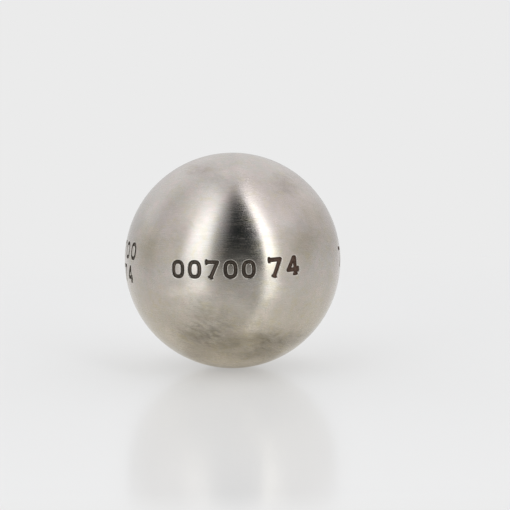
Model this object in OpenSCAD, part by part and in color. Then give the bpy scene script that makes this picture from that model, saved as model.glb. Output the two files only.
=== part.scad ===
/* [Ball] */
// Outside diameter of the finished ball
ball_d = 74; // [70.5:0.5:80]
// Thickness of the steel wall
wall_t = 6.12; // [5:0.02:9]

/* [Edge preparation] */
// Angle between the two bevelled edges that make the weld groove
groove_angle = 60; // [50:5:90]
// Height of the square root face left at the inner edge of each half shell
root_face_t = 1.5; // [0.5:0.1:2.5]
// Gap between the two root faces when the half shells are set up for welding
root_gap = 1; // [0.4:0.1:2]

/* [Weld] */
// Height of the root bead that stands into the cavity
root_bead_h = 0.8; // [0.4:0.1:1.4]
// Width of the root bead across the cavity wall
root_bead_w = 4; // [3:0.1:6]

/* [Hidden] */

// Segments of the drawn circles and revolves
$fn = 180;

// How far a cut runs past the surface that it cuts
cut_over = 1;

// Density of the steel in grams per cubic millimetre
steel_density = 0.00785;

ball_r = ball_d / 2;
cavity_r = ball_r - wall_t;

// The bead's section is an arc through its two edges on the cavity wall and its crest
bead_edge_x = sqrt(pow(cavity_r, 2) - pow(root_bead_w / 2, 2));
bead_crest_x = cavity_r - root_bead_h;
bead_sag = bead_edge_x - bead_crest_x;
bead_r = (pow(root_bead_w / 2, 2) + pow(bead_sag, 2)) / (2 * bead_sag);

// The groove's section runs from inside the bead to past the outside of the ball
groove_foot_x = cavity_r - root_bead_h / 2;
groove_neck_x = cavity_r + root_face_t;
groove_mouth_x = ball_r + cut_over;
groove_neck_half_w = root_gap / 2;
groove_mouth_half_w = groove_neck_half_w + (groove_mouth_x - groove_neck_x) * tan(groove_angle / 2);

wall_mass = steel_density * 4 / 3 * PI * (pow(ball_r, 3) - pow(cavity_r, 3));
echo(str("Mass of the steel wall without the root bead, in grams: ", wall_mass));

// Section of the weld groove: a square-sided neck between the root faces, then the open V
module groove_section() {
    polygon([
        [groove_foot_x, -groove_neck_half_w],
        [groove_neck_x, -groove_neck_half_w],
        [groove_mouth_x, -groove_mouth_half_w],
        [groove_mouth_x, groove_mouth_half_w],
        [groove_neck_x, groove_neck_half_w],
        [groove_foot_x, groove_neck_half_w]
    ]);
}

// Section of one half shell, from its pole to its bevelled rim
module half_shell_section() {
    difference() {
        intersection() {
            circle(r = ball_r);
            square([ball_r + cut_over, ball_r + cut_over]);
        }
        circle(r = cavity_r);
        groove_section();
    }
}

// Section of the root bead, a low convex ridge on the cavity wall
module root_bead_section() {
    intersection() {
        circle(r = cavity_r);
        translate([bead_crest_x + bead_r, 0]) circle(r = bead_r);
    }
}

// Section of the weld metal, with its cap turned flush with the ball
module weld_section() {
    intersection() {
        circle(r = ball_r);
        union() {
            groove_section();
            root_bead_section();
        }
    }
}

// A half shell drawn from one steel disc, with its pole up and its rim on the seam plane
module half_shell() {
    rotate_extrude() half_shell_section();
}

// The half shell that carries the marks, with its pole towards the viewer
module front_half_shell() {
    color([0.69, 0.66, 0.62]) rotate([90, 0, 0]) half_shell();
}

// The half shell behind it, the same pressing turned about
module rear_half_shell() {
    color([0.65, 0.62, 0.58]) rotate([-90, 0, 0]) half_shell();
}

// The weld that fills the groove all the way round and closes the ball
module weld_seam() {
    color([0.74, 0.72, 0.69]) rotate([90, 0, 0]) rotate_extrude() weld_section();
}

front_half_shell();
rear_half_shell();
weld_seam();
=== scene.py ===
import math
from functools import partial

import bmesh
import bpy
import numpy as np
from mathutils import Matrix, Vector


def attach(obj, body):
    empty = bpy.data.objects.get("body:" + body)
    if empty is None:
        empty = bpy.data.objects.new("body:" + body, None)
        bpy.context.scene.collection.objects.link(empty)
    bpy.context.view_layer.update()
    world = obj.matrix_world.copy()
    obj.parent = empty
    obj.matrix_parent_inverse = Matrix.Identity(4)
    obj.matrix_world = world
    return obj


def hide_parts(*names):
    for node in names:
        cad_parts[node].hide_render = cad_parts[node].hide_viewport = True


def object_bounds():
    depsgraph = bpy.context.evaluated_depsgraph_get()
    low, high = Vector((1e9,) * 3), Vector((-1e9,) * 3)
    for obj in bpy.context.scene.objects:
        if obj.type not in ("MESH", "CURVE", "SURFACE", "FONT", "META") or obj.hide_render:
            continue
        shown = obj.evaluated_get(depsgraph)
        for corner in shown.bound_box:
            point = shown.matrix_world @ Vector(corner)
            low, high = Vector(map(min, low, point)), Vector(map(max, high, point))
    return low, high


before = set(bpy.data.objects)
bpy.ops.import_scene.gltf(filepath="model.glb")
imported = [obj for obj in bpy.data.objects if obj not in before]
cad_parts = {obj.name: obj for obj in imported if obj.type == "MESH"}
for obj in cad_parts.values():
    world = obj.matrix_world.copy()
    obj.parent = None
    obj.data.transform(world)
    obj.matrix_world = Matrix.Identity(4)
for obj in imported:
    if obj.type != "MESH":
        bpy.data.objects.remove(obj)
cad_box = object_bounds()

bl_info = {
    "name": "Petanque Boule",
    "version": (1, 0, 0),
    "blender": (4, 5, 0),
    "location": "View3D > Sidebar > Boule",
    "description": "Builds a hollow steel boule from its half shells, weld and engraved numbers",
    "category": "Add Mesh",
}

MM = 0.001
# Lengths closer than this count as the same
TINY = 1e-6
# The turned lines run round the upright axis, and the weld round the seam's
UPRIGHT_AXIS = Vector((0, 0, 1))
SEAM_AXIS = Vector((0, 1, 0))


# Sizes taken from the frame


def cad_points(node):
    """The corner points of a CAD node, one row each."""
    return np.array([v.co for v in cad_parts[node].data.vertices], float)


def shell_section():
    """The radii and half widths of the front half shell and its bevelled rim."""
    points = cad_points("front_half_shell")
    radius = np.linalg.norm(points, axis=1)
    ball_r, cavity_r = radius.max(), radius.min()
    rim = points[points[:, 1] > points[:, 1].max() - TINY]
    outside = points[radius > ball_r - TINY]
    return {
        "ball_r": float(ball_r),
        "cavity_r": float(cavity_r),
        "gap_half_w": float(-rim[:, 1].max()),
        "neck_r": float(np.hypot(rim[:, 0], rim[:, 2]).max()),
        "mouth_half_w": float(-outside[:, 1].max()),
    }


def bead_section():
    """The height and half width of the weld's root bead."""
    points = cad_points("weld_seam")
    ring_r = np.hypot(points[:, 0], points[:, 2])
    inner = points[np.linalg.norm(points, axis=1) < SECTION["cavity_r"] + TINY]
    return {
        "bead_h": float(SECTION["cavity_r"] - ring_r.min()),
        "bead_half_w": float(np.abs(inner[:, 1]).max()),
    }


SECTION = shell_section()
SECTION.update(bead_section())
FLOOR_Z = cad_box[0].z


# Settings that a user would change


class BouleBallSettings(bpy.types.PropertyGroup):
    """How finely the ball's surfaces are divided."""

    meridians: bpy.props.IntProperty(
        name="Meridians",
        description="Segments round the ball's upright axis",
        default=144,
        min=48,
        max=288,
    )
    cavity_rings: bpy.props.IntProperty(
        name="Cavity rings",
        description="Rings from the rim to the pole on the cavity wall",
        default=36,
        min=8,
        max=96,
    )
    weld_steps: bpy.props.IntProperty(
        name="Weld steps",
        description="Segments round the weld",
        default=240,
        min=48,
        max=480,
    )
    mark_cuts: bpy.props.IntProperty(
        name="Cuts under the marks",
        description="Cuts across each face where the numbers are engraved",
        default=6,
        min=3,
        max=11,
    )
    wall_cuts: bpy.props.IntProperty(
        name="Cuts along the walls",
        description="Further cuts across each face on the sloping wall of an engraved stroke",
        default=2,
        min=0,
        max=3,
    )


class BouleMarkSettings(bpy.types.PropertyGroup):
    """The engraved numbers."""

    weight_text: bpy.props.StringProperty(
        name="Weight",
        description="Weight in grams with five places, at the left of the front",
        default="00700",
    )
    diameter_text: bpy.props.StringProperty(
        name="Diameter",
        description="Diameter in millimetres, at the right of the front",
        default="74",
    )
    side_weight_text: bpy.props.StringProperty(
        name="Weight on the sides", description="Weight in grams", default="700"
    )
    side_diameter_text: bpy.props.StringProperty(
        name="Diameter on the side", description="Diameter in millimetres", default="74"
    )
    digit_h: bpy.props.FloatProperty(
        name="Digit height",
        description="Height of a digit over its strokes",
        default=5.9 * MM,
        unit="LENGTH",
    )
    digit_w: bpy.props.FloatProperty(
        name="Digit width",
        description="Width of a digit over its strokes",
        default=4.5 * MM,
        unit="LENGTH",
    )
    digit_gap: bpy.props.FloatProperty(
        name="Digit gap",
        description="Gap between two digits",
        default=1.30 * MM,
        unit="LENGTH",
    )
    stroke_w: bpy.props.FloatProperty(
        name="Stroke width",
        description="Width of a cut at the surface",
        default=1.22 * MM,
        unit="LENGTH",
    )
    flare: bpy.props.FloatProperty(
        name="Flare",
        description="How far a cut widens to each side at the open end of a stroke",
        default=0.34 * MM,
        unit="LENGTH",
    )
    depth: bpy.props.FloatProperty(
        name="Depth",
        description="Depth of the cut",
        default=0.42 * MM,
        unit="LENGTH",
    )
    wall_w: bpy.props.FloatProperty(
        name="Wall width",
        description="Width of the sloping wall of a cut",
        default=0.50 * MM,
        unit="LENGTH",
    )


class BouleFinishSettings(bpy.types.PropertyGroup):
    """Colours and roughness of the turned steel."""

    steel: bpy.props.FloatVectorProperty(
        name="Steel",
        description="Colour of the clean turned steel",
        subtype="COLOR",
        default=(0.505, 0.483, 0.460),
        min=0,
        max=1,
    )
    rose: bpy.props.FloatVectorProperty(
        name="Rose stain",
        description="Colour of the faint rose bloom",
        subtype="COLOR",
        default=(0.532, 0.474, 0.453),
        min=0,
        max=1,
    )
    olive: bpy.props.FloatVectorProperty(
        name="Olive stain",
        description="Colour of the faint olive bloom",
        subtype="COLOR",
        default=(0.549, 0.481, 0.347),
        min=0,
        max=1,
    )
    # Scale in the cuts; on the walls its darkness is partly painted shade
    mark: bpy.props.FloatVectorProperty(
        name="Scale",
        description="Colour of the dark scale in the engraved numbers",
        subtype="COLOR",
        default=(0.034, 0.027, 0.019),
        min=0,
        max=1,
    )
    rust: bpy.props.FloatVectorProperty(
        name="Rust",
        description="Colour of the browner blotches in the scale",
        subtype="COLOR",
        default=(0.078, 0.035, 0.021),
        min=0,
        max=1,
    )
    # Paler scale on the floor of a cut; the darker walls round it are partly painted shade
    pale_floor: bpy.props.FloatVectorProperty(
        name="Worn scale",
        description="Colour of the worn middle of the engraved numbers",
        subtype="COLOR",
        default=(0.175, 0.140, 0.112),
        min=0,
        max=1,
    )
    # The same paler floor where the scale is reddest; the darker walls round it are partly painted shade
    pale_floor_rust: bpy.props.FloatVectorProperty(
        name="Worn red scale",
        description="Colour of the worn middle of the reddest engraved numbers",
        subtype="COLOR",
        default=(0.150, 0.092, 0.070),
        min=0,
        max=1,
    )
    # Partly a painted highlight: the paler colour round the cuts stands for light caught on their rounded
    # mouths as well as for paler burnished steel
    rim: bpy.props.FloatVectorProperty(
        name="Bright rim",
        description="Colour of the burnished rim round the engraved numbers",
        subtype="COLOR",
        default=(0.74, 0.71, 0.67),
        min=0,
        max=1,
    )
    roughness: bpy.props.FloatProperty(
        name="Roughness",
        description="Mean roughness of the steel",
        default=0.25,
        min=0,
        max=1,
        subtype="FACTOR",
    )
    brushing: bpy.props.FloatProperty(
        name="Brushing",
        description="How much more the highlights spread across the turned lines than along them",
        default=0.88,
        min=0,
        max=1,
        subtype="FACTOR",
    )


class BouleStudioSettings(bpy.types.PropertyGroup):
    """The camera, the floor and the light."""

    camera_distance: bpy.props.FloatProperty(
        name="Camera distance",
        description="From the camera to the middle of the ball",
        default=0.400,
        unit="LENGTH",
    )
    camera_elevation: bpy.props.FloatProperty(
        name="Camera elevation",
        description="Angle of the camera over the horizon of the ball",
        default=math.radians(5.0),
        subtype="ANGLE",
    )
    floor_colour: bpy.props.FloatVectorProperty(
        name="Floor",
        description="Colour of the floor",
        subtype="COLOR",
        default=(0.386, 0.385, 0.388),
        min=0,
        max=1,
    )
    floor_glow: bpy.props.FloatProperty(
        name="Floor glow",
        description="Light that the white sheet lets through from below",
        default=0.438,
        min=0,
        max=1,
        subtype="FACTOR",
    )
    floor_gloss: bpy.props.FloatProperty(
        name="Floor gloss",
        description="Share of the mirror in the floor",
        default=0.22,
        min=0,
        max=1,
        subtype="FACTOR",
    )
    background: bpy.props.FloatVectorProperty(
        name="Background",
        description="Colour of the wall behind the floor",
        subtype="COLOR",
        default=(0.831, 0.831, 0.831),
        min=0,
        max=1,
    )
    floor_front: bpy.props.FloatProperty(
        name="Floor in front",
        description="How far the floor reaches in front of the ball",
        default=0.180,
        unit="LENGTH",
    )
    floor_behind: bpy.props.FloatProperty(
        name="Floor behind",
        description="How far the floor reaches behind the ball",
        default=1.200,
        unit="LENGTH",
    )
    floor_side: bpy.props.FloatProperty(
        name="Floor at the sides",
        description="How far the floor reaches to each side",
        default=1.600,
        unit="LENGTH",
    )


SETTINGS = {
    "boule_ball": BouleBallSettings,
    "boule_marks": BouleMarkSettings,
    "boule_finish": BouleFinishSettings,
    "boule_studio": BouleStudioSettings,
}


# Node helpers


def add_node(tree, kind, **values):
    """A node of this kind. A value is set on the node, or on the input socket of that name."""
    node = tree.nodes.new(kind)
    for name, value in values.items():
        if hasattr(node, name):
            setattr(node, name, value)
        else:
            node.inputs[name.replace("_", " ")].default_value = value
    return node


def feed(tree, node, place, source):
    """Links a socket to an input, or sets the input where the source is a plain value."""
    if isinstance(source, bpy.types.NodeSocket):
        tree.links.new(source, node.inputs[place])
    else:
        node.inputs[place].default_value = source


def feed_all(tree, node, *sources):
    """Feeds a node's inputs in their order and passes on its first output."""
    for place, source in enumerate(sources):
        feed(tree, node, place, source)
    return node.outputs[0]


def math_node(tree, operation, *sources, clamp=False):
    """The result of one Math node."""
    node = add_node(tree, "ShaderNodeMath", operation=operation, use_clamp=clamp)
    return feed_all(tree, node, *sources)


def vector_node(tree, operation, *sources):
    """The result of one Vector Math node."""
    node = add_node(tree, "ShaderNodeVectorMath", operation=operation)
    return feed_all(tree, node, *sources)


def length_of(tree, vector):
    """The length of a vector."""
    node = add_node(tree, "ShaderNodeVectorMath", operation="LENGTH")
    feed(tree, node, 0, vector)
    return node.outputs["Value"]


def axes_of(tree, vector):
    """The X, Y and Z values of a vector."""
    node = tree.nodes.new("ShaderNodeSeparateXYZ")
    feed(tree, node, 0, vector)
    return node.outputs


def ramp(tree, value, low, high, to_low=0.0, to_high=1.0, soft=True):
    """A value mapped from one range to another and held at its ends, with a soft or a straight slope."""
    slope = "SMOOTHSTEP" if soft else "LINEAR"
    node = add_node(tree, "ShaderNodeMapRange", interpolation_type=slope)
    return feed_all(tree, node, value, low, high, to_low, to_high)


def mix_colour(tree, share, first, second):
    """Two colours mixed by a share."""
    node = add_node(tree, "ShaderNodeMix", data_type="RGBA")
    feed(tree, node, "Factor", share)
    for name, source in (("A", first), ("B", second)):
        socket = next(s for s in node.inputs if s.name == name and s.type == "RGBA")
        if isinstance(source, bpy.types.NodeSocket):
            tree.links.new(source, socket)
        else:
            socket.default_value = (*source, 1)
    return next(s for s in node.outputs if s.type == "RGBA")


def mix_shader(tree, share, first, second):
    """Two shaders mixed by a share."""
    return feed_all(tree, tree.nodes.new("ShaderNodeMixShader"), share, first, second)


def noise(tree, vector, scale, detail=2.0, roughness=0.5, distortion=0.0, output="Fac"):
    """The value, or the colour, of a noise pattern on a vector."""
    node = add_node(
        tree, "ShaderNodeTexNoise", Scale=scale, Detail=detail, Roughness=roughness, Distortion=distortion
    )
    feed(tree, node, "Vector", vector)
    return node.outputs[output]


# Turned steel


# How far the swirl curls the fibres, and how far it pulls the placed spots of stain and painted light out
# of shape
FIBRE_CURL = 3 * MM
SPOT_PULL = 9 * MM
# The fibres' lean in radians, and how many lie in a metre along X, Y and Z
FIBRE_LEAN = -0.4
FIBRES_PER_METRE = (210, 210, 800)

# Spots on the front: across and up from its middle, half width and half height in mm, then the change
# of tone and the shares of rose and olive. The rose and olive are faint stains. The changes of tone are
# partly stains and partly painted shade and painted light on the reflections: the dark olive band low on
# the front is partly a painted reflection of the floor's shadow, and the pale spot at the bottom is
# painted light reflected from below
STAINS_AND_PAINTED_LIGHT = (
    (-8.8, 37.2, 6.0, 4.5, -0.20, 0.9, 0.0),
    (-4.5, 30.0, 3.2, 4.5, -0.12, 0.2, 0.0),
    (-0.3, 37.0, 4.5, 3.0, 0.10, 0.2, 0.0),
    (17.5, 30.3, 6.5, 4.8, -0.19, 0.9, 0.1),
    (27.0, 17.5, 4.5, 6.0, -0.10, 0.2, 0.3),
    (18.0, 18.0, 5.0, 4.0, 0.10, 0.0, 0.0),
    (-23.0, 16.0, 4.5, 6.0, 0.10, 0.0, 0.0),
    (-16.5, 10.0, 3.6, 6.5, -0.11, 0.3, 0.0),
    (-27.0, 6.0, 6.0, 8.0, -0.06, 0.0, 0.55),
    (-25.0, 12.0, 3.0, 3.0, 0.05, 0.0, 0.4),
    (22.0, 8.5, 7.0, 5.0, -0.11, 0.0, 0.45),
    (-16.4, -7.4, 6.0, 3.0, 0.24, 0.0, 0.0),
    (-10.4, -5.0, 2.6, 1.8, 0.15, 0.0, 0.0),
    (-10.4, -9.2, 2.6, 1.8, -0.14, 0.0, 0.0),
    (13.0, -6.8, 3.0, 3.4, 0.24, 0.0, 0.0),
    (8.0, -12.0, 3.0, 6.0, -0.12, 0.0, 0.0),
    (-26.0, -12.0, 4.0, 6.0, 0.04, 0.6, 0.0),
    (-7.5, -15.5, 7.0, 6.5, -0.31, 0.0, 0.6),
    (-0.5, -12.6, 5.5, 5.0, 0.26, 0.0, 0.1),
    (-12.0, -23.0, 8.0, 4.2, -0.30, 0.0, 0.8),
    (3.5, -20.8, 4.5, 2.8, 0.15, 1.0, 0.0),
    (-19.0, -24.5, 4.0, 4.0, 0.16, 0.0, 0.0),
    (1.5, -24.4, 5.5, 2.2, 0.18, 0.0, 0.0),
    (2.5, -29.2, 8.0, 2.8, 0.22, 0.0, 0.0),
    (4.5, -26.0, 20.0, 6.0, -0.33, 0.0, 0.85),
    (14.0, -27.5, 8.0, 5.0, -0.14, 0.0, 0.2),
    (9.0, -34.0, 6.0, 4.0, -0.18, 0.0, 0.3),
    (-2.0, -42.0, 14.0, 6.0, 0.34, 0.0, 0.2),
)


def turned_place(tree, axes, arc, along, across, seed):
    """Object position squeezed along the turned lines: patches per radian along and across them."""
    flat = along / SECTION["ball_r"]
    return feed_all(
        tree,
        tree.nodes.new("ShaderNodeCombineXYZ"),
        math_node(tree, "MULTIPLY_ADD", axes["X"], flat, seed),
        math_node(tree, "MULTIPLY", axes["Y"], flat),
        math_node(tree, "MULTIPLY", arc, across),
    )


def fibre_pattern(tree, place, swirl):
    """Fine fibres that run aslant and curl, as a cloth wipes stains."""
    curled = vector_node(tree, "MULTIPLY_ADD", swirl, [FIBRE_CURL] * 3, place)
    turn = add_node(tree, "ShaderNodeVectorRotate", rotation_type="Y_AXIS", Angle=FIBRE_LEAN)
    feed(tree, turn, "Vector", curled)
    drawn_out = vector_node(tree, "MULTIPLY", turn.outputs[0], FIBRES_PER_METRE)
    return noise(tree, drawn_out, scale=1.0, detail=3.0, roughness=0.62, distortion=0.8)


def varied(tree, value, patterns):
    """A value that each pattern lowers and raises by its own reach."""
    for pattern, reach in patterns:
        value = math_node(tree, "ADD", value, ramp(tree, pattern, 0.3, 0.7, -reach, reach, soft=False))
    return value


def bloom_and_tints_by_height(tree, upright, cloud, drift, patch, fibre, specks):
    """The tone and shares of rose and olive: mottled rose above, mottled olive lower down and more olive
    towards the bottom, specks all over.
    """
    above = ramp(tree, upright, -0.2, 0.7, 0.15, 0.85)
    mottled = math_node(tree, "MULTIPLY_ADD", math_node(tree, "SUBTRACT", patch, 0.5), 0.35, cloud)
    rose = math_node(tree, "MULTIPLY", ramp(tree, mottled, 0.42, 0.60), above)
    middle = ramp(tree, upright, 0.7, 0.1, 0.1, 0.3)
    olive = math_node(tree, "MULTIPLY", ramp(tree, drift, 0.46, 0.62), middle)
    tone = ramp(tree, fibre, 0.3, 0.7, 1.012, 0.988, soft=False)
    for share, change in ((rose, -0.09), (olive, -0.22)):
        tone = math_node(tree, "MULTIPLY_ADD", share, change, tone)
    # More olive towards the bottom of the ball
    olive = math_node(tree, "MAXIMUM", olive, ramp(tree, upright, 0.3, -0.8, 0.0, 0.62))
    for pattern, pink, green in specks:
        rose = math_node(tree, "ADD", rose, ramp(tree, pattern, 0.50, 0.64, 0.0, pink))
        olive = math_node(tree, "ADD", olive, ramp(tree, pattern, 0.48, 0.34, 0.0, green))
    return tone, rose, olive


def placed_stains_and_painted_light(tree, sheet, fibre, swirl, tone, rose, olive):
    """The tone and the shares of rose and olive with the placed spots, which are partly stains and partly
    painted shade and painted light, and whose edges are ragged and fibrous.
    """
    pulled = vector_node(tree, "MULTIPLY_ADD", swirl, (SPOT_PULL, SPOT_PULL, 0), sheet)
    ragged = ramp(tree, fibre, 0.3, 0.7, 0.14, -0.14, soft=False)
    streaked = ramp(tree, fibre, 0.32, 0.68, 0.8, 1.12, soft=False)
    for across, up, half_w, half_h, change, rose_share, olive_share in STAINS_AND_PAINTED_LIGHT:
        middle = (across * MM + SPOT_PULL / 2, up * MM + SPOT_PULL / 2, 0)
        offset = vector_node(tree, "SUBTRACT", pulled, middle)
        reach = vector_node(tree, "MULTIPLY", offset, (1 / half_w / MM, 1 / half_h / MM, 1 / half_w / MM))
        spot = ramp(tree, math_node(tree, "ADD", length_of(tree, reach), ragged), 1.5, 0.1)
        spot = math_node(tree, "MULTIPLY", spot, streaked)
        # A spot darkens or lightens the tone: partly stains, partly painted shade and painted light on
        # the reflections
        tone = math_node(tree, "MULTIPLY_ADD", spot, change, tone)
        if rose_share:
            rose = math_node(tree, "MAXIMUM", rose, math_node(tree, "MULTIPLY", spot, rose_share))
        if olive_share:
            olive = math_node(tree, "MAXIMUM", olive, math_node(tree, "MULTIPLY", spot, olive_share))
    return tone, rose, olive


def turned_steel_group():
    """Turned and polished steel: fine lines round the upright axis, satin grain, faint heat stains, and
    placed spots of painted shade and painted light.
    """
    group = bpy.data.node_groups.new("turned_steel_finish", "ShaderNodeTree")
    for in_out, names in (
        ("INPUT", ("Steel", "Rose", "Olive", "Roughness")),
        ("OUTPUT", ("Color", "Roughness", "Height")),
    ):
        for name in names:
            kind = "NodeSocketFloat" if name in ("Roughness", "Height") else "NodeSocketColor"
            group.interface.new_socket(name, in_out=in_out, socket_type=kind)
    given = group.nodes.new("NodeGroupInput").outputs
    result = group.nodes.new("NodeGroupOutput")
    place = group.nodes.new("ShaderNodeTexCoord").outputs["Object"]
    axes = axes_of(group, place)
    upright = math_node(group, "DIVIDE", axes["Z"], SECTION["ball_r"])
    arc = math_node(group, "ARCSINE", upright)

    fine_place = turned_place(group, axes, arc, along=9.0, across=430.0, seed=3.0)
    fine = noise(group, fine_place, scale=1.0, detail=3.0, roughness=0.65)
    broad_place = turned_place(group, axes, arc, along=6.0, across=140.0, seed=11.0)
    broad = noise(group, broad_place, scale=1.0, detail=3.0, roughness=0.6)
    cloud = noise(group, place, scale=40.0, detail=4.0, roughness=0.6, distortion=0.5)
    drift = noise(group, place, scale=26.0, detail=4.0, roughness=0.58, distortion=0.9)
    patch = noise(group, place, scale=120.0, detail=4.0, roughness=0.6)
    fleck = noise(group, place, scale=520.0, detail=3.0, roughness=0.55)
    mottle = noise(group, place, scale=270.0, detail=3.0, roughness=0.55, distortion=0.4)
    swirl = noise(group, place, scale=120.0, detail=4.0, roughness=0.62, distortion=0.6, output="Color")
    fibre = fibre_pattern(group, place, swirl)

    specks = ((fleck, 0.7, 0.18), (mottle, 0.85, 0.24))
    bloom = bloom_and_tints_by_height(group, upright, cloud, drift, patch, fibre, specks)
    # The front unrolled to a flat sheet, with the back of the ball moved away from it
    sheet = feed_all(
        group,
        group.nodes.new("ShaderNodeCombineXYZ"),
        axes["X"],
        math_node(group, "MULTIPLY", arc, SECTION["ball_r"]),
        math_node(group, "MAXIMUM", axes["Y"], 0.0),
    )
    # Placed spots: faint stains, and painted shade and painted light on the reflections
    tone, rose, olive = placed_stains_and_painted_light(group, sheet, fibre, swirl, *bloom)
    colour = mix_colour(group, math_node(group, "MINIMUM", rose, 1.0), given["Steel"], given["Rose"])
    colour = mix_colour(group, math_node(group, "MINIMUM", olive, 1.0), colour, given["Olive"])
    # Fine lines and patches change the tone a little
    tone = varied(group, tone, ((fine, 0.035), (fleck, 0.02), (mottle, 0.02), (patch, 0.04)))
    scale = add_node(group, "ShaderNodeVectorMath", operation="SCALE")
    feed(group, scale, 0, colour)
    feed(group, scale, "Scale", tone)
    rough = varied(group, given["Roughness"], ((fine, 0.02), (broad, 0.042), (patch, 0.02)))
    height = math_node(group, "MULTIPLY_ADD", broad, 1.15, fine)
    for name, value in (("Color", scale.outputs[0]), ("Roughness", rough), ("Height", height)):
        feed(group, result, name, value)
    return group


# Height of the turned lines, and how many times as high the grit of the scale stands
LINE_HEIGHT = 0.001 * MM
GRIT = 19.6
# Distances in millimetres from the edge of a cut, below zero inside it, over which the dark scale sets
# in, it turns paler from the walls to the floor, so that the darker walls hold painted shade, and the
# paler rim round the cut, partly a painted highlight, fades out and in
SCALE_SLOPE = (0.10, -0.12)
WALL_SHADE_SLOPE = (-0.16, -0.46)
RIM_HIGHLIGHT_SLOPES = ((0.42, 0.14), (0.0, 0.12))
# Across the front, the range over which the scale turns redder
RED_SLOPE = (4 * MM, 14 * MM)


def steel_material(name, finish, tangent_axis, turn):
    """Turned steel with brushed highlights. Where a cut is engraved, dark scale lies in it, darker on the
    walls as painted shade, and a paler rim round it is partly a painted highlight.
    """
    material = bpy.data.materials.new(name)
    material.use_nodes = True
    tree = material.node_tree
    shader = tree.nodes["Principled BSDF"]
    steel = tree.nodes.new("ShaderNodeGroup")
    steel.node_tree = bpy.data.node_groups.get("turned_steel_finish") or turned_steel_group()
    for socket, colour in (("Steel", finish.steel), ("Rose", finish.rose), ("Olive", finish.olive)):
        steel.inputs[socket].default_value = (*colour, 1)
    steel.inputs["Roughness"].default_value = finish.roughness

    edge = add_node(tree, "ShaderNodeAttribute", attribute_name="cut_edge").outputs["Fac"]
    inside = ramp(tree, edge, *SCALE_SLOPE)
    # A paler rim round each cut, partly a painted highlight of light caught on its rounded mouth; it is
    # also a little smoother
    rim_highlight = math_node(tree, "MULTIPLY", *(ramp(tree, edge, *slope) for slope in RIM_HIGHLIGHT_SLOPES))
    colour = mix_colour(tree, math_node(tree, "MULTIPLY", rim_highlight, 0.4), steel.outputs["Color"], finish.rim)
    place = tree.nodes.new("ShaderNodeTexCoord").outputs["Object"]
    crust = noise(tree, place, scale=2600.0, detail=4.0, roughness=0.7)
    blotch = noise(tree, place, scale=420.0, detail=3.0, roughness=0.6)
    # The scale is redder towards the right. It is dark on the walls, partly as painted shade, and paler
    # on the floor of a cut
    rightward = ramp(tree, axes_of(tree, place)["X"], *RED_SLOPE, -0.25, 0.4)
    redness = math_node(tree, "MULTIPLY_ADD", blotch, 0.6, rightward, clamp=True)
    scale_colour = mix_colour(tree, redness, finish.mark, finish.rust)
    floor_colour = mix_colour(tree, redness, finish.pale_floor, finish.pale_floor_rust)
    speckled = ramp(tree, crust, 0.40, 0.66, 0.0, 0.5)
    speckled = math_node(tree, "ADD", speckled, ramp(tree, blotch, 0.4, 0.6, 0.0, 0.35))
    pale_floor = math_node(tree, "MULTIPLY", ramp(tree, edge, *WALL_SHADE_SLOPE), speckled)
    scale_colour = mix_colour(tree, pale_floor, scale_colour, floor_colour)
    feed(tree, shader, "Base Color", mix_colour(tree, inside, colour, scale_colour))
    feed(tree, shader, "Metallic", ramp(tree, inside, 0, 1, 1.0, 0.6, soft=False))
    rough = math_node(tree, "MULTIPLY_ADD", rim_highlight, -0.05, steel.outputs["Roughness"])
    feed(tree, shader, "Roughness", math_node(tree, "MULTIPLY_ADD", inside, 0.32, rough))

    bump = add_node(tree, "ShaderNodeBump", Strength=1.0, Distance=LINE_HEIGHT)
    grit = math_node(tree, "MULTIPLY", math_node(tree, "MULTIPLY", crust, inside), GRIT)
    feed(tree, bump, "Height", math_node(tree, "ADD", steel.outputs["Height"], grit))
    feed(tree, shader, "Normal", bump.outputs[0])

    # The highlights spread across the turned lines
    feed(tree, shader, "Tangent", vector_node(tree, "CROSS_PRODUCT", tangent_axis, place))
    shader.inputs["Anisotropic"].default_value = finish.brushing
    shader.inputs["Anisotropic Rotation"].default_value = turn
    return material


# White sheet


# Before the front edge of the sheet, and round its middle, the range over which it fades into the wall
EDGE_FADE = (30 * MM, 2 * MM)
FAR_FADE = (0.2, 0.5)
# How rough the sheet's weak mirror is
GLOSS_ROUGHNESS = 0.18


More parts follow.
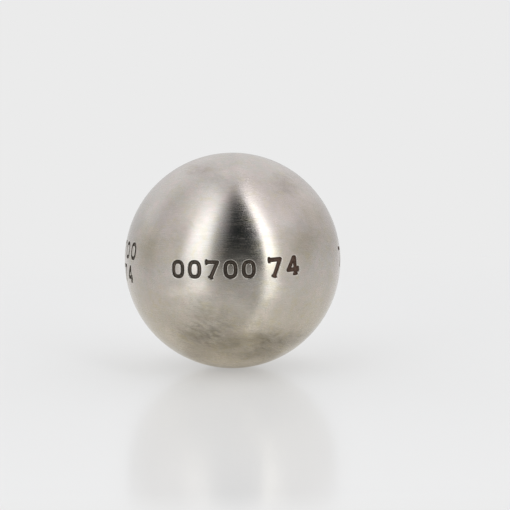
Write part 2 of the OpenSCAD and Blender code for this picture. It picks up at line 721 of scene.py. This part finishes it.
def floor_material(studio):
    """White sheet with a soft, weak mirror."""
    material = bpy.data.materials.new("white_sheet")
    material.use_nodes = True
    tree = material.node_tree
    tree.nodes.clear()
    matt = add_node(tree, "ShaderNodeBsdfDiffuse", Color=(*studio.floor_colour, 1))
    glow = add_node(tree, "ShaderNodeEmission", Strength=studio.floor_glow)
    gloss = add_node(
        tree, "ShaderNodeBsdfAnisotropic", Color=(1, 1, 1, 1), Roughness=GLOSS_ROUGHNESS
    )
    sheet = feed_all(tree, tree.nodes.new("ShaderNodeAddShader"), matt.outputs[0], glow.outputs[0])
    sheet = mix_shader(tree, studio.floor_gloss, sheet, gloss.outputs[0])

    # The camera sees the sheet fade into the plain wall before its edges, and sees through it from below
    place = tree.nodes.new("ShaderNodeTexCoord").outputs["Object"]
    forward = math_node(tree, "MULTIPLY", axes_of(tree, place)["Y"], -1.0)
    front_edge = ramp(tree, forward, *(studio.floor_front - spare for spare in EDGE_FADE))
    fade = math_node(tree, "MAXIMUM", front_edge, ramp(tree, length_of(tree, place), *FAR_FADE))
    seen = tree.nodes.new("ShaderNodeLightPath").outputs["Is Camera Ray"]
    wall = add_node(tree, "ShaderNodeEmission", Color=(*studio.background, 1))
    sheet = mix_shader(tree, math_node(tree, "MULTIPLY", fade, seen), sheet, wall.outputs[0])
    below = tree.nodes.new("ShaderNodeNewGeometry").outputs["Backfacing"]
    clear = tree.nodes.new("ShaderNodeBsdfTransparent")
    sheet = mix_shader(tree, math_node(tree, "MULTIPLY", below, seen), sheet, clear.outputs[0])
    feed(tree, tree.nodes.new("ShaderNodeOutputMaterial"), "Surface", sheet)
    return material


# Engraved numbers


# The foot across a stroke's open end: its width as a share of the stroke's, and how softly it runs in
FOOT_SHARE = 0.62
FOOT_BLEND = 0.25 * MM
# How much of a cut's wall lies outside the edge of its stroke
OUTER_WALL_SHARE = 0.4
# Room left round a row of digits, and the longest distance from a cut that is worked out
MARK_MARGIN = 0.6 * MM
FAR_FROM_CUT = 2.0 * MM
# A vertex this near the outside of the ball is put on it before the digits are sunk
SKIN_DEPTH = 0.1 * MM
# Distance over which the slope of a cut's wall is measured
SLOPE_STEP = 0.01 * MM
# From the middle of a face to just past its corners, as a share of its side
FACE_REACH = 0.75


def arc_line(centre, reach, start, end, steps=20, squareness=1.0):
    """Points on an ellipse between two angles in degrees. A squareness under 1 fills its corners."""
    line = []
    for step in range(steps + 1):
        turn = math.radians(start + (end - start) * step / steps)
        across, up = math.cos(turn), math.sin(turn)
        line.append(
            (
                centre[0] + reach[0] * math.copysign(abs(across) ** squareness, across),
                centre[1] + reach[1] * math.copysign(abs(up) ** squareness, up),
            )
        )
    return line


def digit_lines(character):
    """The middle lines of a digit's strokes in a unit square, from its lower left corner."""
    six = [
        [(0.86, 1.0), *arc_line((0.92, 0.32), (0.92, 0.68), 105, 180, 12)],
        arc_line((0.5, 0.3), (0.5, 0.3), 0, 360, 32),
    ]
    drawings = {
        "0": [arc_line((0.5, 0.5), (0.5, 0.5), 0, 360, 40, 0.76)],
        "1": [[(0.2, 0.78), (0.58, 1.0), (0.58, 0.0)]],
        "2": [[*arc_line((0.5, 0.7), (0.46, 0.3), 165, -25), (0.0, 0.0), (1.0, 0.0)]],
        "3": [
            arc_line((0.48, 0.75), (0.42, 0.25), 150, -90),
            arc_line((0.48, 0.27), (0.5, 0.27), 90, -150),
        ],
        "4": [[(0.76, 0.0), (0.76, 1.0), (0.64, 1.0), (0.0, 0.25), (1.0, 0.25)]],
        "5": [[(0.92, 1.0), (0.16, 1.0), (0.1, 0.52), *arc_line((0.46, 0.31), (0.52, 0.31), 115, -150)]],
        "6": six,
        "7": [[(0.0, 1.0), (1.0, 1.0), (0.36, 0.0)]],
        "8": [
            arc_line((0.5, 0.76), (0.4, 0.24), 0, 360, 32),
            arc_line((0.5, 0.27), (0.5, 0.27), 0, 360, 32),
        ],
        "9": [[(1 - x, 1 - y) for x, y in line] for line in six],
    }
    if character not in drawings:
        raise ValueError(f"no strokes are drawn for {character!r}")
    return drawings[character]


def distance_to_lines(points, lines):
    """The least distance from each point to the lines, on the flat."""
    nearest = np.full(len(points), 1.0)
    for line in lines:
        for first, second in zip(line[:-1], line[1:]):
            start, run = np.array(first), np.array(second) - first
            share = np.clip((points - start) @ run / max(float(run @ run), TINY**2), 0, 1)
            gap = points - start - share[:, None] * run
            nearest = np.minimum(nearest, np.hypot(gap[:, 0], gap[:, 1]))
    return nearest


class Mark:
    """A row of digits on the ball, placed by azimuth, elevation and tilt in degrees from the front."""

    def __init__(self, text, azimuth, elevation, tilt=0.0, size=1.0, weight=1.0, lift=0.0):
        marks = bpy.context.scene.boule_marks
        self.half_w = marks.stroke_w * weight / 2
        self.flare = marks.flare
        width = marks.digit_w * size - 2 * self.half_w
        height = marks.digit_h * size - 2 * self.half_w
        pitch = (marks.digit_w + marks.digit_gap) * size
        start = -(pitch * (len(text) - 1) + width) / 2
        self.lines = [
            [(start + pitch * place + x * width, lift + (y - 0.5) * height) for x, y in line]
            for place, character in enumerate(text)
            for line in digit_lines(character)
        ]
        self.foot_half_w = FOOT_SHARE * self.half_w
        self.feet = []
        for line in self.lines:
            others = [other for other in self.lines if other is not line]
            for before, end in ((line[1], line[0]), (line[-2], line[-1])):
                free = distance_to_lines(np.array([end]), others)[0] > self.half_w
                if free and math.dist(line[0], line[-1]) > TINY:
                    self.feet.append(self.foot(before, end))
        az, el = math.radians(azimuth), math.radians(elevation)
        out = Vector((math.sin(az) * math.cos(el), -math.cos(az) * math.cos(el), math.sin(el)))
        right = Vector((math.cos(az), math.sin(az), 0))
        turn = Matrix.Rotation(math.radians(tilt), 3, out)
        self.axes = np.array([turn @ right, turn @ out.cross(right), out])
        points = np.array([p for line in self.lines for p in line])
        margin = self.half_w + self.flare + MARK_MARGIN
        self.low, self.high = points.min(0) - margin, points.max(0) + margin

    def foot(self, before, end):
        """A short stroke across the open end of a digit's stroke, which makes the end wider."""
        way = (np.array(end) - before) / math.dist(end, before)
        middle = np.array(end) + way * (self.half_w - self.foot_half_w)
        side = np.array([-way[1], way[0]]) * (self.half_w + self.flare - self.foot_half_w)
        return [middle - side, middle + side]

    def flat(self, points):
        """Points on the ball unrolled round the mark's middle: how far across and how far up."""
        local = points @ self.axes.T
        radius = np.linalg.norm(local, axis=1)
        across = np.arctan2(local[:, 0], local[:, 2]) * radius
        return np.stack([across, np.arcsin(local[:, 1] / radius) * radius], 1)

    def covers(self, points, spare=0.0):
        """Whether each point lies in the mark's frame, widened by spare."""
        flat = self.flat(points)
        return ((flat > self.low - spare) & (flat < self.high + spare)).all(1)

    def edge_distance(self, points):
        """Distance from the edge of the strokes, below zero inside. Feet run softly into the strokes."""
        flat = self.flat(points)
        stroke = distance_to_lines(flat, self.lines) - self.half_w
        foot = distance_to_lines(flat, self.feet) - self.foot_half_w
        share = np.clip(0.5 + (foot - stroke) / FOOT_BLEND / 2, 0, 1)
        return foot + (stroke - foot) * share - FOOT_BLEND * share * (1 - share)


def all_marks():
    """The rows of digits on the ball: two on the front, two on the left and one on the right."""
    marks = bpy.context.scene.boule_marks
    return [
        Mark(marks.weight_text, azimuth=-10.1, elevation=0.4, tilt=0.7),
        Mark(marks.diameter_text, azimuth=26.3, elevation=1.4, tilt=3.5, size=1.08, weight=1.1),
        Mark(marks.side_weight_text, azimuth=-72.5, elevation=1.0, lift=3.9 * MM),
        Mark(marks.side_diameter_text, azimuth=-72.5, elevation=1.0, lift=-3.9 * MM),
        Mark(marks.side_weight_text, azimuth=89.5, elevation=3.0, size=1.15),
    ]


def edge_distance(points, rows):
    """Distance from each point to the edge of the nearest stroke of any row, up to a limit."""
    edge = np.full(len(points), FAR_FROM_CUT)
    for mark in rows:
        near = mark.covers(points)
        if near.any():
            edge[near] = np.minimum(edge[near], mark.edge_distance(points[near]))
    return edge


def wall_share(edge):
    """How far down the wall of a cut a point lies, from its mouth to its foot."""
    wall_w = bpy.context.scene.boule_marks.wall_w
    return np.clip((wall_w * OUTER_WALL_SHARE - edge) / wall_w, 0, 1)


def cut_depth(edge):
    """Depth of the cut at a distance from its edge: a rounded mouth, a sloping wall and a flat floor."""
    share = wall_share(edge)
    return bpy.context.scene.boule_marks.depth * share**3 * (share * (share * 6 - 15) + 10)


def cut_normals(points, rows):
    """Normals of the engraved ball at points on it, from the slope of the cut's wall."""
    marks = bpy.context.scene.boule_marks
    out = points / np.linalg.norm(points, axis=1)[:, None]
    base = out * SECTION["ball_r"]
    edge = edge_distance(base, rows)
    share = wall_share(edge)
    steep = (share > 0) & (share < 1)
    # How steeply the curve of cut_depth falls there
    fall = marks.depth / marks.wall_w * 30 * (share * (1 - share))[steep] ** 2
    base, normals = base[steep], out.copy()
    side = np.cross(np.array(UPRIGHT_AXIS), out[steep])
    side /= np.linalg.norm(side, axis=1)[:, None]
    for way in (side, np.cross(out[steep], side)):
        rise = (edge_distance(base + way * SLOPE_STEP, rows) - edge[steep]) / SLOPE_STEP
        normals[steep] -= way * (rise * fall)[:, None]
    return normals / np.linalg.norm(normals, axis=1)[:, None]


def divide(bm, faces, cuts):
    """Cuts faces of the ball into smaller squares and puts the new corners on the ball."""
    if faces and cuts:
        edges = list({e for f in faces for e in f.edges})
        bmesh.ops.subdivide_edges(bm, edges=edges, cuts=cuts, use_grid_fill=True)
        for vertex in bm.verts:
            if vertex.co.length > SECTION["ball_r"] - SKIN_DEPTH:
                vertex.co = vertex.co.normalized() * SECTION["ball_r"]


def engrave(bm, rows, cuts, wall_cuts, reach):
    """Divides the ball's faces under the digits and sinks them. Returns the faces on the outside."""
    marks = bpy.context.scene.boule_marks
    ball_r = SECTION["ball_r"]

    def on_ball():
        faces = [f for f in bm.faces if all(v.co.length > ball_r - TINY / 4 for v in f.verts)]
        return faces, np.array([f.calc_center_median() for f in faces])

    outer, centres = on_ball()
    wanted = np.zeros(len(outer), bool)
    for mark in rows:
        wanted |= mark.covers(centres, reach)
    divide(bm, [outer[i] for i in np.flatnonzero(wanted)], cuts)
    outer, centres = on_ball()
    middle = edge_distance(centres, rows) + (0.5 - OUTER_WALL_SHARE) * marks.wall_w
    near = np.abs(middle) < 0.5 * marks.wall_w + FACE_REACH * reach / (cuts + 1)
    divide(bm, [outer[i] for i in np.flatnonzero(near)], wall_cuts)
    outer = on_ball()[0]
    skin = list({v for f in outer for v in f.verts})
    points = np.array([v.co for v in skin])
    edge = edge_distance(points, rows)
    layer = bm.verts.layers.float["cut_edge"]
    for vertex in bm.verts:
        vertex[layer] = FAR_FROM_CUT / MM
    for vertex, sink, away in zip(skin, cut_depth(edge), edge):
        vertex.co *= 1 - sink / ball_r
        vertex[layer] = away / MM
    return outer


# Meshes


# Segments of each arc in the weld's section, and the sharpest turn that is still shaded smooth
SECTION_STEPS = 10
SMOOTH_TURN = math.radians(20)
# Each map keeps a small margin round what it shows
MAP_MARGIN = 0.01
MAP_FILL = 1 - 2 * MAP_MARGIN
# In a half shell's map the rim and the cavity are a disc: its middle, and its reach over the cavity and
# over the wall
DISC_MIDDLE = 0.893
DISC_REACH = (0.08, 0.02)
# The weld's map has three strips. Across a strip lie the cap, both bevels, both root faces and the bead
WELD_STRIPS = 3
BEVEL_PLACES = (6.8 * MM, 11.8 * MM)
ROOT_PLACES = (12.2 * MM, 14.2 * MM)
BEAD_PLACE = 20.8 * MM


def new_bmesh():
    """A mesh with places for the distance from a cut and for the faces outside."""
    bm = bmesh.new()
    bm.verts.layers.float.new("cut_edge")
    bm.faces.layers.int.new("outside")
    return bm


def ring_place(radius, half_w, side, place):
    """A point moved to a ring of this radius about the seam's axis, at its own angle round it."""
    flat = Vector((place.x, 0, place.z)).normalized() * radius
    return Vector((flat.x, side * half_w, flat.z))


def extrude_ring(bm, edges, radius, half_w, side):
    """Extrudes a loop of edges and moves the new loop to a ring. Returns the new loop."""
    layer = bm.verts.layers.float["cut_edge"]
    grown = bmesh.ops.extrude_edge_only(bm, edges=edges)["geom"]
    for vertex in (g for g in grown if isinstance(g, bmesh.types.BMVert)):
        vertex.co = ring_place(radius, half_w, side, vertex.co)
        vertex[layer] = FAR_FROM_CUT / MM
    return [g for g in grown if isinstance(g, bmesh.types.BMEdge)]


def half_shell_mesh(name, side):
    """The half shell in front of the seam, -1, or behind it, 1, with its digits, rim and cavity wall."""
    ball = bpy.context.scene.boule_ball
    ball_r, cavity_r = SECTION["ball_r"], SECTION["cavity_r"]
    mouth, gap = SECTION["mouth_half_w"], SECTION["gap_half_w"]
    rows = all_marks()
    bm = new_bmesh()
    bmesh.ops.create_uvsphere(
        bm, u_segments=ball.meridians, v_segments=ball.meridians // 2, radius=ball_r
    )
    bmesh.ops.bisect_plane(
        bm,
        geom=[*bm.verts, *bm.edges, *bm.faces],
        plane_co=SEAM_AXIS * side * mouth,
        plane_no=SEAM_AXIS * -side,
        clear_outer=True,
        dist=TINY,
    )
    for vertex in {v for e in bm.edges if e.is_boundary for v in e.verts}:
        vertex.co = ring_place(math.sqrt(ball_r**2 - mouth**2), mouth, side, vertex.co)
    outer = engrave(bm, rows, ball.mark_cuts, ball.wall_cuts, ball_r * math.tau / ball.meridians)

    # Bevelled rim, root face and cavity wall
    rim = [e for e in bm.edges if e.is_boundary]
    ridges = list(rim)
    rim = extrude_ring(bm, rim, SECTION["neck_r"], gap, side)
    ridges += rim
    rim = extrude_ring(bm, rim, math.sqrt(cavity_r**2 - gap**2), gap, side)
    ridges += rim
    start = math.asin(gap / cavity_r)
    for ring in range(1, ball.cavity_rings):
        lean = start + (math.pi / 2 - start) * ring / ball.cavity_rings
        rim = extrude_ring(bm, rim, cavity_r * math.cos(lean), cavity_r * math.sin(lean), side)
    pole = bmesh.ops.extrude_edge_only(bm, edges=rim)["geom"]
    tip = [g for g in pole if isinstance(g, bmesh.types.BMVert)]
    bmesh.ops.pointmerge(bm, verts=tip, merge_co=SEAM_AXIS * side * cavity_r)
    for ridge in ridges:
        ridge.smooth = False
    return finish_mesh(bm, name, outer, rows, partial(shell_map, side))


def weld_mesh(name):
    """The weld's section turned once round the seam's axis, with the digits that cross it."""
    ball = bpy.context.scene.boule_ball
    ball_r, cavity_r = SECTION["ball_r"], SECTION["cavity_r"]
    mouth, gap, bead = SECTION["mouth_half_w"], SECTION["gap_half_w"], SECTION["bead_half_w"]
    sweep = [2 * i / SECTION_STEPS - 1 for i in range(SECTION_STEPS + 1)]
    lean = math.asin(mouth / ball_r)
    cap = [-lean * share for share in sweep]
    crest_x = cavity_r - SECTION["bead_h"]
    sag = math.sqrt(cavity_r**2 - bead**2) - crest_x
    bead_r = (bead**2 + sag**2) / (2 * sag)
    lean = math.asin(bead / bead_r)
    crown = [lean * share for share in sweep]
    wall_x = math.sqrt(cavity_r**2 - gap**2)
    section = [
        *((ball_r * math.cos(t), ball_r * math.sin(t)) for t in cap),
        (SECTION["neck_r"], -gap),
        (wall_x, -gap),
        *((crest_x + bead_r - bead_r * math.cos(t), bead_r * math.sin(t)) for t in crown),
        (wall_x, gap),
        (SECTION["neck_r"], gap),
    ]
    bm = new_bmesh()
    corners = [bm.verts.new((x, y, 0)) for x, y in section]
    loop = [bm.edges.new(pair) for pair in zip(corners, corners[1:] + corners[:1])]
    bmesh.ops.spin(
        bm,
        geom=[*corners, *loop],
        cent=(0, 0, 0),
        axis=SEAM_AXIS,
        angle=math.tau,
        steps=ball.weld_steps,
        use_merge=True,
    )
    bmesh.ops.remove_doubles(bm, verts=bm.verts, dist=TINY)
    for edge in bm.edges:
        if len(edge.link_faces) == 2 and edge.calc_face_angle(0) > SMOOTH_TURN:
            edge.smooth = False
    rows = all_marks()
    reach = ball_r * math.tau / ball.weld_steps
    outer = engrave(bm, rows, ball.mark_cuts // 2, ball.wall_cuts, reach)
    return finish_mesh(bm, name, outer, rows, weld_map)


def shell_map(side, points, outside, centres):
    """Map places of a half shell: the outside is a lens with U along the lines, the rest a small disc."""
    radius = np.linalg.norm(points, axis=1)
    azimuth = np.arctan2(-side * points[:, 0], side * points[:, 1])
    arc = np.arcsin(points[:, 2] / radius)
    lens = np.stack([azimuth * np.cos(arc), arc], 1) * MAP_FILL / math.pi + 0.5
    lean = np.arccos(np.clip(side * points[:, 1] / radius, -1, 1)) / (math.pi / 2)
    depth = (radius - SECTION["cavity_r"]) / (SECTION["ball_r"] - SECTION["cavity_r"])
    turn = np.arctan2(points[:, 2], points[:, 0])
    reach = (DISC_REACH[0] * lean + DISC_REACH[1] * depth)[:, None]
    disc = reach * np.stack([np.cos(turn), np.sin(turn)], 1) + DISC_MIDDLE
    return np.where(outside[:, None], lens, disc)


def weld_map(points, outside, centres):
    """Map places of the weld: three strips, one for each third of the ring, with U along the ring."""
    mouth, bead = SECTION["mouth_half_w"], SECTION["bead_half_w"]
    strip = math.tau / WELD_STRIPS
    turn = np.arctan2(points[:, 2], points[:, 0])
    middle = np.arctan2(centres[:, 2], centres[:, 0])
    turn = middle + (turn - middle + math.pi) % math.tau - math.pi
    row = np.clip(np.floor((middle + math.pi) / strip), 0, WELD_STRIPS - 1)
    ring_r = np.hypot(points[:, 0], points[:, 2])
    middle_r = np.hypot(centres[:, 0], centres[:, 2])
    behind = centres[:, 1] > 0
    inward = SECTION["ball_r"] - ring_r
    across = np.select(
        [outside, middle_r > SECTION["neck_r"], middle_r > SECTION["cavity_r"]],
        [
            points[:, 1] + mouth,
            np.where(behind, *BEVEL_PLACES) + inward,
            np.where(behind, *ROOT_PLACES) + inward,
        ],
        BEAD_PLACE + points[:, 1] + bead,
    )
    scale = MAP_FILL / (strip * SECTION["ball_r"])
    along = MAP_MARGIN + MAP_FILL * (turn + math.pi - row * strip) / strip
    return np.stack([along, MAP_MARGIN + row / WELD_STRIPS + across * scale], 1)


def finish_mesh(bm, name, outer, rows, bake_map):
    """A smooth object whose outside has the normals of the engraved ball, so that no seam shows."""
    bmesh.ops.recalc_face_normals(bm, faces=bm.faces)
    skin = bm.faces.layers.int["outside"]
    for face in bm.faces:
        face.smooth = True
        face[skin] = 0
    for face in outer:
        face[skin] = 1
    mesh = bpy.data.meshes.new(name)
    bm.to_mesh(mesh)
    bm.free()

    def read(items, key, width=1, kind=float):
        values = np.empty(len(items) * width, kind)
        items.foreach_get(key, values)
        return values.reshape(-1, width) if width > 1 else values

    points = read(mesh.vertices, "co", 3)
    corner_vertex = read(mesh.loops, "vertex_index", kind=int)
    corners = read(mesh.polygons, "loop_total", kind=int)
    normals = read(mesh.corner_normals, "vector", 3)
    outside = np.repeat(read(mesh.attributes["outside"].data, "value", kind=int) > 0, corners)
    centres = np.repeat(read(mesh.polygons, "center", 3), corners, axis=0)
    places = bake_map(points[corner_vertex], outside, centres)
    mesh.uv_layers.new(name="OFBake").data.foreach_set("uv", places.ravel())
    normals[outside] = cut_normals(points, rows)[corner_vertex[outside]]
    mesh.normals_split_custom_set(normals.tolist())
    mesh.attributes.remove(mesh.attributes["outside"])
    piece = bpy.data.objects.new(name, mesh)
    bpy.context.scene.collection.objects.link(piece)
    return piece


def place_piece(piece, node, material):
    """Gives a piece its material and makes it stand for its CAD node."""
    piece.data.materials.append(material)
    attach(piece, "root")
    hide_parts(node)


def shell_material():
    """The half shells' steel, made once."""
    finish = bpy.context.scene.boule_finish
    made = bpy.data.materials.get("turned_shell")
    return made or steel_material("turned_shell", finish, UPRIGHT_AXIS, turn=0.25)


# Operators


class BOULE_OT_front_half_shell(bpy.types.Operator):
    """Builds the front half shell with the front and left numbers and its share of the right one"""

    bl_idname = "boule.front_half_shell"
    bl_label = "Front Half Shell"

    def execute(self, context):
        piece = half_shell_mesh("front_shell", -1)
        place_piece(piece, "front_half_shell", shell_material())
        return {"FINISHED"}


class BOULE_OT_rear_half_shell(bpy.types.Operator):
    """Builds the rear half shell with its share of the right number"""

    bl_idname = "boule.rear_half_shell"
    bl_label = "Rear Half Shell"

    def execute(self, context):
        piece = half_shell_mesh("rear_shell", 1)
        place_piece(piece, "rear_half_shell", shell_material())
        return {"FINISHED"}


class BOULE_OT_weld_seam(bpy.types.Operator):
    """Builds the weld that joins the half shells, with its share of the right number"""

    bl_idname = "boule.weld_seam"
    bl_label = "Weld Seam"

    def execute(self, context):
        material = steel_material("turned_weld", context.scene.boule_finish, SEAM_AXIS, turn=0.0)
        place_piece(weld_mesh("weld_ring"), "weld_seam", material)
        return {"FINISHED"}


class BOULE_OT_studio(bpy.types.Operator):
    """Builds the floor, the soft light and the camera"""

    bl_idname = "boule.studio"
    bl_label = "Studio"

    def execute(self, context):
        build_floor(context.scene.boule_studio)
        build_light(context.scene.boule_studio)
        build_camera(context.scene.boule_studio)
        return {"FINISHED"}


# Studio


# The tent as the ball sees it, with azimuths from the front and elevations from the horizon in degrees.
# A pair of angles is a soft slope. Each panel has an inner and an outer edge and a foot, and its light
# changes over the panel's heights
RIGHT_EDGES = ((26.6, 27.6), (32.6, 47.8))
RIGHT_LIGHT = (1.96, 2.91)
LEFT_EDGES = ((20.0, 31.5), (42.5, 60.5))
LEFT_LIGHT = (1.09, 0.0)
PANEL_FOOT = (-14.0, 0.0)
PANEL_HEIGHTS = (36.0, 75.0)
# Shifts in azimuth at the horizon and higher up: of each panel, and what the gap's left side adds
RIGHT_LEAN = (6.5, 2.5)
LEFT_LEAN = (0.0, 4.0)
GAP_LEAN = (0.0, 6.5)
LEAN_HEIGHTS = (0.0, 60.0)
# The dark gap's foot, and the slope on its left where it turns into the panel
GAP_FOOT = (-11.5, -2.0)
GAP_LEFT = (43.0, 6.0)
# The walls' light low down and high up, and the change in it far to the right and far to the left
WALL_HEIGHTS = (5.0, 70.0)
WALL_LIGHT = (0.98, 1.35)
RIGHT_FALL = (50.0, 90.0, 0.0, -0.26)
LEFT_FALL = (60.0, 120.0, 0.0, -0.56)
# How far backwards a direction points as the back sets in, and the back's light low down and high up
BACK_SLOPE = (0.0, 0.5)
BACK_HEIGHTS = (0.0, 35.0)
BACK_LIGHT = (0.70, 1.05)
# The light below the horizon, and overhead, where all parts meet
FLOOR_HEIGHTS = (-1.5, -19.0)
FLOOR_LIGHT = 0.85
OVERHEAD_HEIGHTS = (66.0, 90.0)
OVERHEAD_LIGHT = 1.11
# How much cooler than the tent the panels are, and the faint light in the gap
COOL_TINTS = (("Green", 0.06, 0.006), ("Blue", 0.075, 0.0085))


def build_floor(studio):
    """A flat white sheet under the ball."""
    bm = bmesh.new()
    bmesh.ops.create_grid(bm, x_segments=1, y_segments=1, size=1)
    for vertex in bm.verts:
        vertex.co.x *= studio.floor_side
        vertex.co.y = studio.floor_behind if vertex.co.y > 0 else -studio.floor_front
        vertex.co.z = FLOOR_Z
    mesh = bpy.data.meshes.new("floor")
    bm.to_mesh(mesh)
    bm.free()
    mesh.materials.append(floor_material(studio))
    floor = bpy.data.objects.new("floor", mesh)
    bpy.context.scene.collection.objects.link(floor)


def tent_light(tree, direction):
    """The red, green and blue light that comes from a direction in the tent."""
    axes = axes_of(tree, direction)
    front = math_node(tree, "MULTIPLY", axes["Y"], -1.0)
    azimuth = math_node(tree, "DEGREES", math_node(tree, "ARCTAN2", axes["X"], front))
    elevation = math_node(tree, "DEGREES", math_node(tree, "ARCSINE", axes["Z"]))

    def band(angle, rise, fall):
        """One between two angles, with a soft slope on each side."""
        return math_node(tree, "MULTIPLY", ramp(tree, angle, *rise), ramp(tree, angle, *fall, 1.0, 0.0))

    def blend(share, first, second):
        """One level turned into another by a share."""
        node = tree.nodes.new("ShaderNodeMix")
        for place, source in ((0, share), (2, first), (3, second)):
            feed(tree, node, place, source)
        return node.outputs[0]

    def lean(foot, head):
        """A shift in azimuth that changes from the horizon up."""
        return ramp(tree, elevation, *LEAN_HEIGHTS, foot, head)

    # The panels lean inwards, and the gap between them narrows towards its top
    rightward = math_node(tree, "SUBTRACT", azimuth, lean(*RIGHT_LEAN))
    leftward = math_node(tree, "SUBTRACT", lean(*LEFT_LEAN), azimuth)
    right = band(rightward, *RIGHT_EDGES)
    left = band(leftward, *LEFT_EDGES)
    narrowing = math_node(tree, "ADD", leftward, lean(*GAP_LEAN))
    short_of_right = ramp(tree, rightward, *RIGHT_EDGES[0], 1.0, 0.0)
    gap = math_node(tree, "MULTIPLY", ramp(tree, narrowing, *GAP_LEFT), short_of_right)
    gap = math_node(tree, "MULTIPLY", gap, ramp(tree, elevation, *GAP_FOOT))
    light = ramp(tree, elevation, *WALL_HEIGHTS, *WALL_LIGHT)
    for angle, fall in ((azimuth, RIGHT_FALL), (leftward, LEFT_FALL)):
        light = math_node(tree, "ADD", light, ramp(tree, angle, *fall))
    light = blend(ramp(tree, elevation, *FLOOR_HEIGHTS), light, FLOOR_LIGHT)
    light = blend(gap, light, 0.0)
    feet = ramp(tree, elevation, *PANEL_FOOT)
    panels = 0.0
    for panel, levels in ((right, RIGHT_LIGHT), (left, LEFT_LIGHT)):
        strength = math_node(tree, "MULTIPLY", feet, ramp(tree, elevation, *PANEL_HEIGHTS, *levels))
        panels = math_node(tree, "MULTIPLY_ADD", panel, strength, panels)
    light = math_node(tree, "ADD", light, panels)
    # The back of the tent is even, and all parts meet overhead
    behind = ramp(tree, axes["Y"], *BACK_SLOPE)
    light = blend(behind, light, ramp(tree, elevation, *BACK_HEIGHTS, *BACK_LIGHT))
    light = blend(ramp(tree, elevation, *OVERHEAD_HEIGHTS), light, OVERHEAD_LIGHT)
    tint = tree.nodes.new("ShaderNodeCombineColor")
    feed(tree, tint, "Red", light)
    for channel, cool, faint in COOL_TINTS:
        level = math_node(tree, "MULTIPLY_ADD", panels, cool, light)
        feed(tree, tint, channel, math_node(tree, "MULTIPLY_ADD", gap, faint, level))
    return tint.outputs[0]


def build_light(studio):
    """A soft white tent with two upright bright panels in front and a dark gap between them."""
    world = bpy.data.worlds.new("tent")
    world.use_nodes = True
    bpy.context.scene.world = world
    tree = world.node_tree
    tree.nodes.clear()
    direction = tree.nodes.new("ShaderNodeTexCoord").outputs["Generated"]
    glow = tree.nodes.new("ShaderNodeBackground")
    feed(tree, glow, "Color", tent_light(tree, direction))
    plain = add_node(tree, "ShaderNodeBackground", Color=(*studio.background, 1))
    seen = tree.nodes.new("ShaderNodeLightPath").outputs["Is Camera Ray"]
    surface = mix_shader(tree, seen, glow.outputs[0], plain.outputs[0])
    feed(tree, tree.nodes.new("ShaderNodeOutputWorld"), "Surface", surface)


# The picture's side and the camera's focal length in pixels, and the pixel at the middle of the ball
IMAGE_SIDE = 510
FOCAL_PIXELS = 1160.0
BALL_PIXEL = (232.75, 260.3)
# The camera's sensor in millimetres, and how near and how far it sees in metres
SENSOR_W = 36.0
CLIP_RANGE = (0.01, 20.0)


def build_camera(studio):
    """A camera in front of the ball that sees it a little left of and below the middle of the picture."""
    data = bpy.data.cameras.new("camera")
    data.sensor_width = SENSOR_W
    data.lens = FOCAL_PIXELS / IMAGE_SIDE * SENSOR_W
    data.clip_start, data.clip_end = CLIP_RANGE
    camera = bpy.data.objects.new("camera", data)
    bpy.context.scene.collection.objects.link(camera)
    lift = studio.camera_elevation
    back = Vector((0, -math.cos(lift), math.sin(lift)))
    camera.location = back * studio.camera_distance
    look = -back
    right = look.cross(UPRIGHT_AXIS).normalized()
    up = right.cross(look)
    middle = IMAGE_SIDE / 2
    look += right * (middle - BALL_PIXEL[0]) / FOCAL_PIXELS
    look += up * (BALL_PIXEL[1] - middle) / FOCAL_PIXELS
    camera.rotation_mode = "QUATERNION"
    camera.rotation_quaternion = look.to_track_quat("-Z", "Y")
    bpy.context.scene.camera = camera


class BOULE_PT_panel(bpy.types.Panel):
    """Builds the boule and its studio"""

    bl_label = "Petanque Boule"
    bl_space_type = "VIEW_3D"
    bl_region_type = "UI"
    bl_category = "Boule"

    def draw(self, context):
        for name in SETTINGS:
            box = self.layout.box()
            group = getattr(context.scene, name)
            for key in group.__annotations__:
                box.prop(group, key)
        for operator in OPERATORS:
            self.layout.operator(operator.bl_idname)


OPERATORS = (
    BOULE_OT_front_half_shell,
    BOULE_OT_rear_half_shell,
    BOULE_OT_weld_seam,
    BOULE_OT_studio,
)
CLASSES = (*SETTINGS.values(), *OPERATORS, BOULE_PT_panel)


def register():
    for cls in CLASSES:
        bpy.utils.register_class(cls)
    for name, cls in SETTINGS.items():
        setattr(bpy.types.Scene, name, bpy.props.PointerProperty(type=cls))


def unregister():
    for name in SETTINGS:
        delattr(bpy.types.Scene, name)
    for cls in reversed(CLASSES):
        bpy.utils.unregister_class(cls)


def main():
    register()
    bpy.context.scene.view_settings.view_transform = "Standard"
    bpy.ops.boule.front_half_shell()
    bpy.ops.boule.rear_half_shell()
    bpy.ops.boule.weld_seam()
    bpy.ops.boule.studio()


if __name__ == "__main__":
    main()
